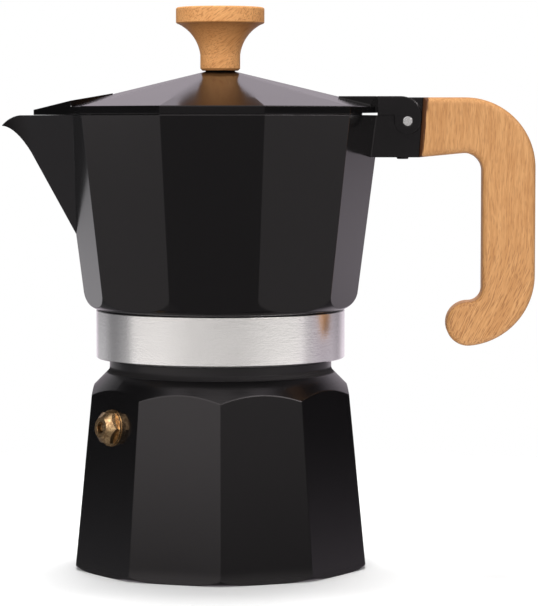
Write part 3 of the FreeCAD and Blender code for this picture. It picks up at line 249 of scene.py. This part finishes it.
def coated(name, bare, ior, turned=0.0, crown=0.0):
    """Semi-gloss black coating on a casting, with bare metal where the mask says so. Turned is 1 on
    the casting whose shoulder shows tool marks and which is duller at its foot, its neck and the
    corner under the neck. Crown is 1 on the casting whose upper side has softly rounded edges."""
    finish = Finish(name)
    spot = Spot(finish)
    mask = bare(spot)
    cloud = finish.noise(finish.place, scale=60.0, detail=3.0)
    peel = finish.noise(finish.place, scale=1900.0)
    casting = finish.noise(finish.place, scale=900.0, detail=4.0, roughness=0.7)
    rings = finish.noise(finish.stretched(finish.place, (50.0, 50.0, 3400.0)), roughness=0.6)

    slope = turned * finish.step(spot.up, 0.15, 0.30)
    foot = turned * finish.step(spot.z, *FOOT_FADE)
    neck = turned * finish.step(spot.z, *NECK_FADE)
    corner = (1.0 - neck) * turned * finish.step(spot.radius, *CORNER_FADE)
    dull = 0.16 * foot + 0.10 * slope + 0.18 * neck + 0.5 * corner
    coat_roughness = 0.11 + 0.04 * cloud + dull
    metal_roughness = 0.36 + 0.18 * casting

    upper = crown * finish.step(spot.up, 0.70, 0.85) * finish.step(spot.radius, *CROWN_FADE)
    edges = finish.blend(upper, finish.soft_edges(CASTING_EDGE), finish.soft_edges(CROWN_EDGE))
    relief = peel + mask * (casting * 3.0) + slope * (rings * 8.0)
    return finish.surface(
        Base_Color=finish.mix(mask, COATING, CAST_ALUMINIUM),
        Metallic=0.7 * mask,
        Roughness=coat_roughness + mask * (metal_roughness - coat_roughness),
        IOR=ior,
        Specular_Tint=COATING_GLINT,
        Normal=finish.bump(relief, strength=0.05, distance=0.05 * MM, normal=edges))


def inner_floor(spot, top):
    """What faces up inside a casting, below a height."""
    return (spot.up > 0.7) & ((spot.z < top) & (spot.radius < INNER_FLOOR_RADIUS))


def boiler_bare(spot):
    """The tank, the threaded rim and the turned underside."""
    tank = (spot.outwards < -0.2) & (spot.z > TANK_FOOT)
    rim = spot.z > THREAD_FOOT
    underside = (spot.up < -0.9) & (spot.radius < UNDERSIDE_RADIUS)
    return (tank | inner_floor(spot, TANK_FLOOR_TOP)) | (rim | underside)


def collector_bare(spot):
    """The chamber and the pouring channel, and all that the collar and the seal hide."""
    chamber = (spot.outwards < -0.06) & (spot.x < HINGE_WALL)
    hidden = spot.z < HIDDEN_TOP
    return (chamber | inner_floor(spot, CHAMBER_FLOOR_TOP)) | hidden


def lid_bare(spot):
    """The hollow underside and the inner side of the lip round it."""
    hollow = (spot.up < -0.3) & (spot.z > LID_HOLLOW_FOOT)
    lip = (spot.outwards < -0.3) & (spot.z < LID_LIP_TOP)
    return (hollow | lip) & (spot.radius < LID_LIP_RADIUS)


# Metals and silicone

TURNED_ALUMINIUM = (0.93, 0.925, 0.92, 1.0)
BRASS = (0.80, 0.55, 0.29, 1.0)
BRASS_TARNISH = (0.17, 0.075, 0.035, 1.0)
STEEL = (0.74, 0.74, 0.75, 1.0)
DARK_STEEL = (0.06, 0.058, 0.06, 1.0)
SILICONE = (0.74, 0.73, 0.70, 1.0)
METAL_EDGE = 0.2 * MM
BRASS_EDGE = 0.14 * MM


def darkened(colour, share):
    """A colour with its red, green and blue multiplied."""
    return tuple(share * part for part in colour[:3]) + (1.0,)


def turned_metal(name, colour, roughness, metallic):
    """Bright metal with fine tool marks that run round the pot's axis."""
    finish = Finish(name)
    rounds = finish.stretched(finish.place, (70.0, 70.0, 5200.0))
    marks = finish.noise(rounds, detail=3.0, roughness=0.6)
    grain = finish.noise(finish.place, scale=1500.0, detail=3.0, roughness=0.7)
    cloud = finish.noise(finish.place, scale=90.0)
    shade = 0.86 + 0.16 * marks + 0.5 * (grain - 0.5) + 0.06 * (cloud - 0.5)
    relief = 0.6 * marks + 2.4 * grain
    edges = finish.soft_edges(METAL_EDGE)
    return finish.surface(
        Base_Color=finish.mix(shade, darkened(colour, 0.80), colour),
        Metallic=metallic,
        Roughness=roughness + 0.10 * (marks - 0.5) + 0.08 * (grain - 0.5),
        Anisotropic=0.3,
        Normal=finish.bump(relief, strength=0.15, distance=0.06 * MM, normal=edges))


def brass(name):
    """Brass that has dulled in spots."""
    finish = Finish(name)
    blotch = finish.noise(finish.place, scale=900.0, detail=4.0, roughness=0.7)
    scratch = finish.noise(finish.stretched(finish.place, (2600.0, 2600.0, 500.0)))
    dull = finish.step(blotch, 0.40, 0.62)
    edges = finish.soft_edges(BRASS_EDGE)
    return finish.surface(
        Base_Color=finish.mix(0.65 * dull, BRASS, BRASS_TARNISH),
        Metallic=1.0,
        Roughness=0.22 + 0.20 * dull + 0.08 * (scratch - 0.5),
        Normal=finish.bump(scratch + blotch, strength=0.15, distance=0.05 * MM, normal=edges))


def steel(name, colour, roughness):
    """Drawn steel with fine scratches along X."""
    finish = Finish(name)
    scratch = finish.noise(finish.stretched(finish.place, (900.0, 3600.0, 3600.0)), detail=3.0)
    edges = finish.soft_edges(METAL_EDGE)
    return finish.surface(
        Base_Color=colour,
        Metallic=1.0,
        Roughness=roughness + 0.16 * (scratch - 0.5),
        Normal=finish.bump(scratch, strength=0.08, distance=0.03 * MM, normal=edges))


def silicone(name):
    """Matt, slightly clouded silicone."""
    finish = Finish(name)
    skin = finish.noise(finish.place, scale=2200.0, detail=3.0)
    cloud = finish.noise(finish.place, scale=120.0)
    return finish.surface(
        Base_Color=finish.mix(cloud, darkened(SILICONE, 0.9), SILICONE),
        Roughness=0.5 + 0.1 * skin,
        Normal=finish.bump(skin, strength=0.1, distance=0.05 * MM))


# Varnished wood

HANDLE_WOOD = ((0.62, 0.322, 0.128, 1.0), (0.47, 0.218, 0.075, 1.0), (0.22, 0.084, 0.026, 1.0))
KNOB_WOOD = ((0.84, 0.420, 0.155, 1.0), (0.70, 0.315, 0.105, 1.0), (0.40, 0.145, 0.042, 1.0))
WOOD_STAIN = (0.085, 0.030, 0.010, 1.0)
WOOD_IOR = 1.45
WOOD_EDGE = 0.3 * MM
HOOK_TOP = 102 * MM
HOOK_LENGTH = 40 * MM
HOOK_LEAN = 13 * MM
GRAIN_DRIFT = 5 * MM
PORE_FADE = (105 * MM, 78 * MM)
STAIN_FRAY = 1.2 * MM
STAIN_TAPER = 0.03
STAIN_FADE = (0.70 * MM, 1.20 * MM)
KNOB_CONTRAST = 0.55
KNOB_GRAIN_TURN = (0.12, math.radians(-55), 0.15)


def wood_figure(finish, colours, fibres, contrast):
    """The colour, streaks and relief of pale wood. The third part of fibres runs along them, and
    contrast is how much the pores darken."""
    pale, middle, dark = colours
    bands = finish.noise(finish.stretched(fibres, (230.0, 230.0, 12.0)),
                         detail=3.0, roughness=0.6, distortion=0.5)
    streaks = finish.noise(finish.stretched(fibres, (2100.0, 2100.0, 190.0)), roughness=0.6)
    pores = finish.noise(finish.stretched(fibres, (2800.0, 2800.0, 360.0)), detail=1.0)
    dashes = finish.step(pores, 0.50, 0.66)
    tone = finish.step(0.40 * bands + 0.60 * streaks, 0.32, 0.68)
    colour = finish.mix(contrast * dashes, finish.mix(tone, middle, pale), dark)
    relief = finish.bump(streaks - 0.8 * dashes, strength=0.16, distance=0.08 * MM,
                         normal=finish.soft_edges(WOOD_EDGE))
    return colour, streaks, relief


def varnished(finish, colour, streaks, relief):
    """Ends a wood in a satin varnish."""
    return finish.surface(
        Base_Color=colour,
        Roughness=0.46 + 0.12 * streaks,
        IOR=WOOD_IOR,
        Normal=relief)


def handle_wood(name):
    """Fibres that run down the grip and lean over in the hook. Painted shade darkens the wood
    where it faces sideways, on its rounded edges, and it is stained where it meets the bracket."""
    finish = Finish(name)
    x, y, z = finish.split(finish.place)
    below = (HOOK_TOP - z) / HOOK_LENGTH | 0.0
    drift = finish.noise(finish.join(x * 40.0, 0.0, z * 25.0), detail=1.0) - 0.5
    fibres = finish.join(x + HOOK_LEAN * below * below + GRAIN_DRIFT * drift, y, z)
    contrast = 0.25 + 0.32 * finish.step(z, *PORE_FADE)
    colour, streaks, relief = wood_figure(finish, HANDLE_WOOD, fibres, contrast)

    # Painted shade: surfaces that face sideways, the rounded edges, are blended towards the dark wood.
    sideways = finish.split(finish.facing)[1]
    rounded = finish.step(abs(sideways), 0.80, 0.30)
    with_painted_edge_shade = finish.mix(0.28 * rounded, colour, HANDLE_WOOD[2])
    above = z - BRACKET_FOOT
    joint = x - JOINT_FOOT - JOINT_SLOPE * above
    frayed = joint + STAIN_FRAY * (streaks - 0.5) - STAIN_TAPER * above
    stain = 1.0 - finish.step(frayed, *STAIN_FADE)
    return varnished(finish, finish.mix(stain, with_painted_edge_shade, WOOD_STAIN), streaks, relief)


def knob_wood(name):
    """Fibres that cross the turned knob at a slant, with painted shade darkening its underside."""
    finish = Finish(name)
    x, y, z = finish.split(finish.place)
    fibres = finish.rotated(finish.join(x, y, z - KNOB_FOOT), KNOB_GRAIN_TURN)
    colour, streaks, relief = wood_figure(finish, KNOB_WOOD, fibres, KNOB_CONTRAST)
    # Painted shade: faces that turn downwards are blended towards the dark wood.
    up = finish.split(finish.facing)[2]
    under = finish.step(up, 0.0, -0.9)
    return varnished(finish, finish.mix(0.5 * under, colour, KNOB_WOOD[2]), streaks, relief)


# Finishes of the solids


def dress(material, *names):
    """Gives solids their finish."""
    for name in names:
        slots = nodes[name].data.materials
        slots.clear()
        slots.append(material)


TURNED = turned_metal("turned_aluminium", TURNED_ALUMINIUM, roughness=0.20, metallic=1.0)
SPUN = turned_metal("spun_aluminium", CAST_ALUMINIUM, roughness=0.34, metallic=0.75)
PLAIN_STEEL = steel("plain_steel", STEEL, roughness=0.26)

dress(coated("boiler_coating", boiler_bare, CASTING_IOR, turned=1.0), "boiler")
dress(coated("collector_coating", collector_bare, CASTING_IOR), "collector")
dress(coated("lid_coating", lid_bare, LID_IOR, crown=1.0), "lid")
dress(TURNED, "collar_ring")
dress(SPUN, "filter_funnel", "funnel_tube", "funnel_screen", "filter_plate", "riser_column")
dress(brass("valve_brass"), "valve_body", "valve_washer", "valve_cap", "valve_plunger", "knob_insert")
dress(PLAIN_STEEL, "valve_spring", "hinge_pin", "handle_tang", "knob_screw")
dress(steel("blackened_steel", DARK_STEEL, roughness=0.34), "handle_screw")
dress(silicone("seal_silicone"), "gasket")
dress(handle_wood("handle_wood"), "handle")
dress(knob_wood("knob_wood"), "knob")


# New pieces

MERGE_DISTANCE = 1e-6
THREAD_PITCH = 2.5 * MM
THREAD_STEPS = 72
RIDGE_HALF = 0.55 * MM
CREST_HALF = 0.3 * RIDGE_HALF
RIDGE_HEIGHT = 0.28 * MM
RIDGE_SINK = 0.05 * MM
RIM_RADIUS = 31.5 * MM
COLLAR_BORE_RADIUS = 31.9 * MM
RIM_RIDGE_FOOT = BOILER_TOP - 5.7 * MM
COLLAR_RIDGE_FOOT = RIM_RIDGE_FOOT + THREAD_PITCH / 2


def add_object(name, data):
    """Puts a mesh, a lamp or a camera into the scene."""
    made = bpy.data.objects.new(name, data)
    bpy.context.scene.collection.objects.link(made)
    return made


def add_piece(name, mesh, material):
    """Makes an object of a bmesh."""
    data = bpy.data.meshes.new(name)
    mesh.to_mesh(data)
    mesh.free()
    data.materials.append(material)
    return add_object(name, data)


def make_spring():
    """A merged copy of the valve's coil, carried by the boiler in place of the original."""
    joints = frame["record"]["behaviour"]["joints"]
    lift = next(joint for joint in joints if joint["name"] == "valve_lift")
    axis = Vector(lift["axis"]).normalized()
    travel = lift["range_m"][1]
    mesh = bmesh.new()
    mesh.from_mesh(nodes["valve_spring"].data)
    bmesh.ops.remove_doubles(mesh, verts=mesh.verts, dist=MERGE_DISTANCE)
    along = [axis.dot(vertex.co) for vertex in mesh.verts]
    coil = add_piece("spring_coil", mesh, PLAIN_STEEL)
    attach(coil, "boiler")
    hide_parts("valve_spring")
    1.0 - travel / (max(along) - min(along))
    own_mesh(coil)


def make_thread(name, body, wall, side, foot, turns, material):
    """A ridge wound round the pot's axis on a round wall. Side is 1 on its outside and -1 inside."""
    root = wall - side * RIDGE_SINK
    crest = wall + side * RIDGE_HEIGHT
    profile = [(root, -RIDGE_HALF), (crest, -CREST_HALF), (crest, CREST_HALF), (root, RIDGE_HALF)]
    mesh = bmesh.new()
    corners = [mesh.verts.new((radius, 0.0, foot + height)) for radius, height in profile]
    edges = [mesh.edges.new((corners[k - 1], corners[k])) for k in range(len(corners))]
    bmesh.ops.contextual_create(mesh, geom=edges)
    spun = bmesh.ops.spin(mesh, geom=edges, cent=(0, 0, 0), axis=(0, 0, 1), angle=2 * math.pi * turns,
                          dvec=(0, 0, THREAD_PITCH / THREAD_STEPS), steps=int(THREAD_STEPS * turns))
    last = [item for item in spun["geom_last"] if isinstance(item, bmesh.types.BMEdge)]
    bmesh.ops.contextual_create(mesh, geom=last)
    bmesh.ops.remove_doubles(mesh, verts=mesh.verts, dist=MERGE_DISTANCE)
    bmesh.ops.recalc_face_normals(mesh, faces=mesh.faces)
    piece = add_piece(name, mesh, material)
    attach(piece, body)


make_spring()
make_thread("boiler_thread", "boiler", wall=RIM_RADIUS, side=1, foot=RIM_RIDGE_FOOT, turns=1.9,
            material=SPUN)
make_thread("collar_thread", "collector", wall=COLLAR_BORE_RADIUS, side=-1, foot=COLLAR_RIDGE_FOOT,
            turns=1.6, material=TURNED)


# Studio

SHEET_RADIUS = 0.30
SHEET_CENTRE = (0.01, 0.0, -0.02 * MM)
SHEET_FADE = (0.12, SHEET_RADIUS - 0.02)
PAPER = (0.94, 0.94, 0.94, 1.0)
WHITE = (1.0, 1.0, 1.0, 1.0)
WARM_LIGHT = (1.0, 0.965, 0.945, 1.0)
ROSY_LIGHT = (1.0, 0.90, 0.99, 1.0)
GREY_LIGHT = (0.97, 0.95, 0.98, 1.0)
IMAGE_WIDTH = 538
FOCAL_PIXELS = 2655.2
CAMERA_PLACE = (0.03902, -0.77488, 0.12768)
CAMERA_DIP = 0.066
CAMERA_TURN = math.radians(1.835)


def make_floor():
    """A pale round sheet under the pot that fades into the white around it."""
    paper = Finish("floor_paper")
    x, y, z = paper.split(paper.place)
    distance = (x * x + y * y) ** 0.5
    white = paper.node("ShaderNodeBsdfDiffuse", sockets={"Color": PAPER})
    clear = paper.node("ShaderNodeBsdfTransparent")
    faded = paper.node("ShaderNodeMixShader", sockets={
        0: paper.step(distance, *SHEET_FADE), 1: white, 2: clear})
    paper.node("ShaderNodeOutputMaterial", sockets={"Surface": faded})
    mesh = bmesh.new()
    bmesh.ops.create_circle(mesh, cap_ends=True, radius=SHEET_RADIUS, segments=96)
    bmesh.ops.translate(mesh, verts=mesh.verts, vec=SHEET_CENTRE)
    floor = add_piece("studio_floor", mesh, paper.material)
    floor.visible_glossy = False


class Surroundings(Nodes):
    """Light by direction: X to the right, Y away from the camera and Z up. White paper is 1."""

    def __init__(self, tree):
        super().__init__(tree)
        self.x, self.y, self.z = self.split(self.node("ShaderNodeTexCoord", output="Generated"))
        self.left = self.step(self.x, 0.45, -0.45)
        self.behind = self.step(self.y, 0.40, 0.80)

    def table(self):
        """A dim table, paler at its sides, with the walls and the white sweep that meet it."""
        x, y, z = self.x, self.y, self.z
        sides = self.step(abs(x), 0.30, 0.90) * self.step(y, 0.45, -0.05)
        near = self.step(z, -0.25, -0.45)
        top = 0.16 + sides * (0.26 - 0.09 * near)
        beside = self.step(y, -0.05, 0.10)
        back_wall = self.behind * (0.32 + 0.20 * self.left)
        right_wall = 0.50 * self.step(x, 0.60, 0.88) * beside
        left_wall = 0.16 * self.step(x, -0.60, -0.80) * beside
        far = self.step(z, -0.175, -0.13)
        sweep = 0.55 * self.behind * self.band(x, -0.44, -0.30, 0.42, 0.60)
        return top + far * (back_wall + right_wall + left_wall) + sweep

    def table_edge(self):
        """The bright far edge of the table at the front."""
        return 0.84 * self.band(self.z, -0.175, -0.13, -0.07, -0.02) * self.step(self.y, 0.06, -0.12)

    def room(self):
        """A dark room with a white backdrop and its dimmer flanks, a soft box at the front that is
        brightest on the left, a box high at the front, a lamp on the right and a pale ceiling."""
        x, y, z = self.x, self.y, self.z
        backdrop = self.step(abs(x), 0.50, 0.22) * self.behind * (0.46 + 0.40 * self.step(z, 0.10, 0.35))
        flank_height = self.band(z, 0.12, 0.22, 0.50, 0.62)
        flanks = 0.38 * self.behind * self.step(abs(x), 0.30, 0.44) * flank_height
        front = self.step(y, -0.22, -0.62)
        soft_box = front * self.step(z, -0.02, 0.08) * (0.40 + 0.72 * self.left)
        high_box = 1.1 * self.step(y, 0.05, -0.25) * self.band(z, 0.40, 0.50, 0.85, 0.95)
        lamp_height = self.band(z, 0.40, 0.48, 0.64, 0.72)
        right_lamp = 6.0 * self.step(x, 0.42, 0.56) * lamp_height * self.step(y, 0.05, -0.05)
        ceiling = 0.85 * self.step(z, 0.85, 0.94)
        return 0.03 + backdrop + flanks + soft_box + high_box + right_lamp + ceiling

    def mirrored(self):
        """What shiny surfaces show: the table below the horizon and the room above it."""
        raised = self.step(self.z, -0.115, -0.01)
        return (1.0 - raised) * self.table() + self.table_edge() + raised * self.room()

    def ambient(self):
        """Soft light, mostly from the front and from above."""
        return 0.25 + 0.45 * self.step(self.y, 0.5, -0.6) + 0.30 * self.step(self.z, 0.35, 0.85)

    def tint(self):
        """Warm in front. Behind, grey at the left and rosy elsewhere."""
        rear = self.mix(self.step(self.x, -0.35, -0.50), ROSY_LIGHT, GREY_LIGHT)
        return self.mix(self.step(self.y, -0.3, 0.3), WARM_LIGHT, rear)

    def rays(self, kind):
        """1 on the rays of one kind."""
        return self.node("ShaderNodeLightPath", output=kind)


def make_surroundings():
    """White to the camera, the mirrored studio to shiny surfaces and soft light to the rest."""
    world = bpy.data.worlds.new("studio")
    world.use_nodes = True
    bpy.context.scene.world = world
    sky = Surroundings(world.node_tree)
    seen = sky.rays("Is Camera Ray")
    shiny = sky.rays("Is Glossy Ray") | sky.rays("Is Transmission Ray")
    level = seen + (1.0 - seen) * (shiny * sky.mirrored() + (1.0 - shiny) * sky.ambient())
    colour = sky.mix(shiny, WHITE, sky.tint())
    background = sky.node("ShaderNodeBackground", sockets={"Color": colour, "Strength": level})
    sky.node("ShaderNodeOutputWorld", sockets={"Surface": background})


def add_lamp(name, place, aim, size, watts):
    """A large square lamp that faces a height on the pot's axis and isn't mirrored."""
    light = bpy.data.lights.new(name, "AREA")
    light.shape = "SQUARE"
    light.size = size
    light.energy = watts
    lamp = add_object(name, light)
    lamp.location = place
    lamp.rotation_euler = (Vector((0, 0, aim)) - Vector(place)).to_track_quat("-Z", "Y").to_euler()
    lamp.visible_glossy = False


def make_camera():
    """The photograph's view, from the perspective of the pot's edges."""
    lens = bpy.data.cameras.new("photo_camera")
    lens.sensor_fit = "HORIZONTAL"
    lens.sensor_width = 36.0
    lens.lens = FOCAL_PIXELS / IMAGE_WIDTH * lens.sensor_width
    lens.clip_start = 0.01
    camera = add_object("photo_camera", lens)
    camera.location = CAMERA_PLACE
    camera.rotation_euler = (math.pi / 2 - CAMERA_DIP, 0.0, CAMERA_TURN)
    bpy.context.scene.camera = camera


make_floor()
make_surroundings()
add_lamp("key_light", place=(-0.45, -1.1, 0.40), aim=0.08, size=0.8, watts=6.0)
add_lamp("fill_light", place=(0.7, -0.9, 0.4), aim=0.08, size=0.7, watts=2.0)
add_lamp("top_light", place=(0.0, 0.29, 1.28), aim=0.05, size=0.5, watts=16.0)
make_camera()
bpy.context.scene.view_settings.view_transform = "Standard"
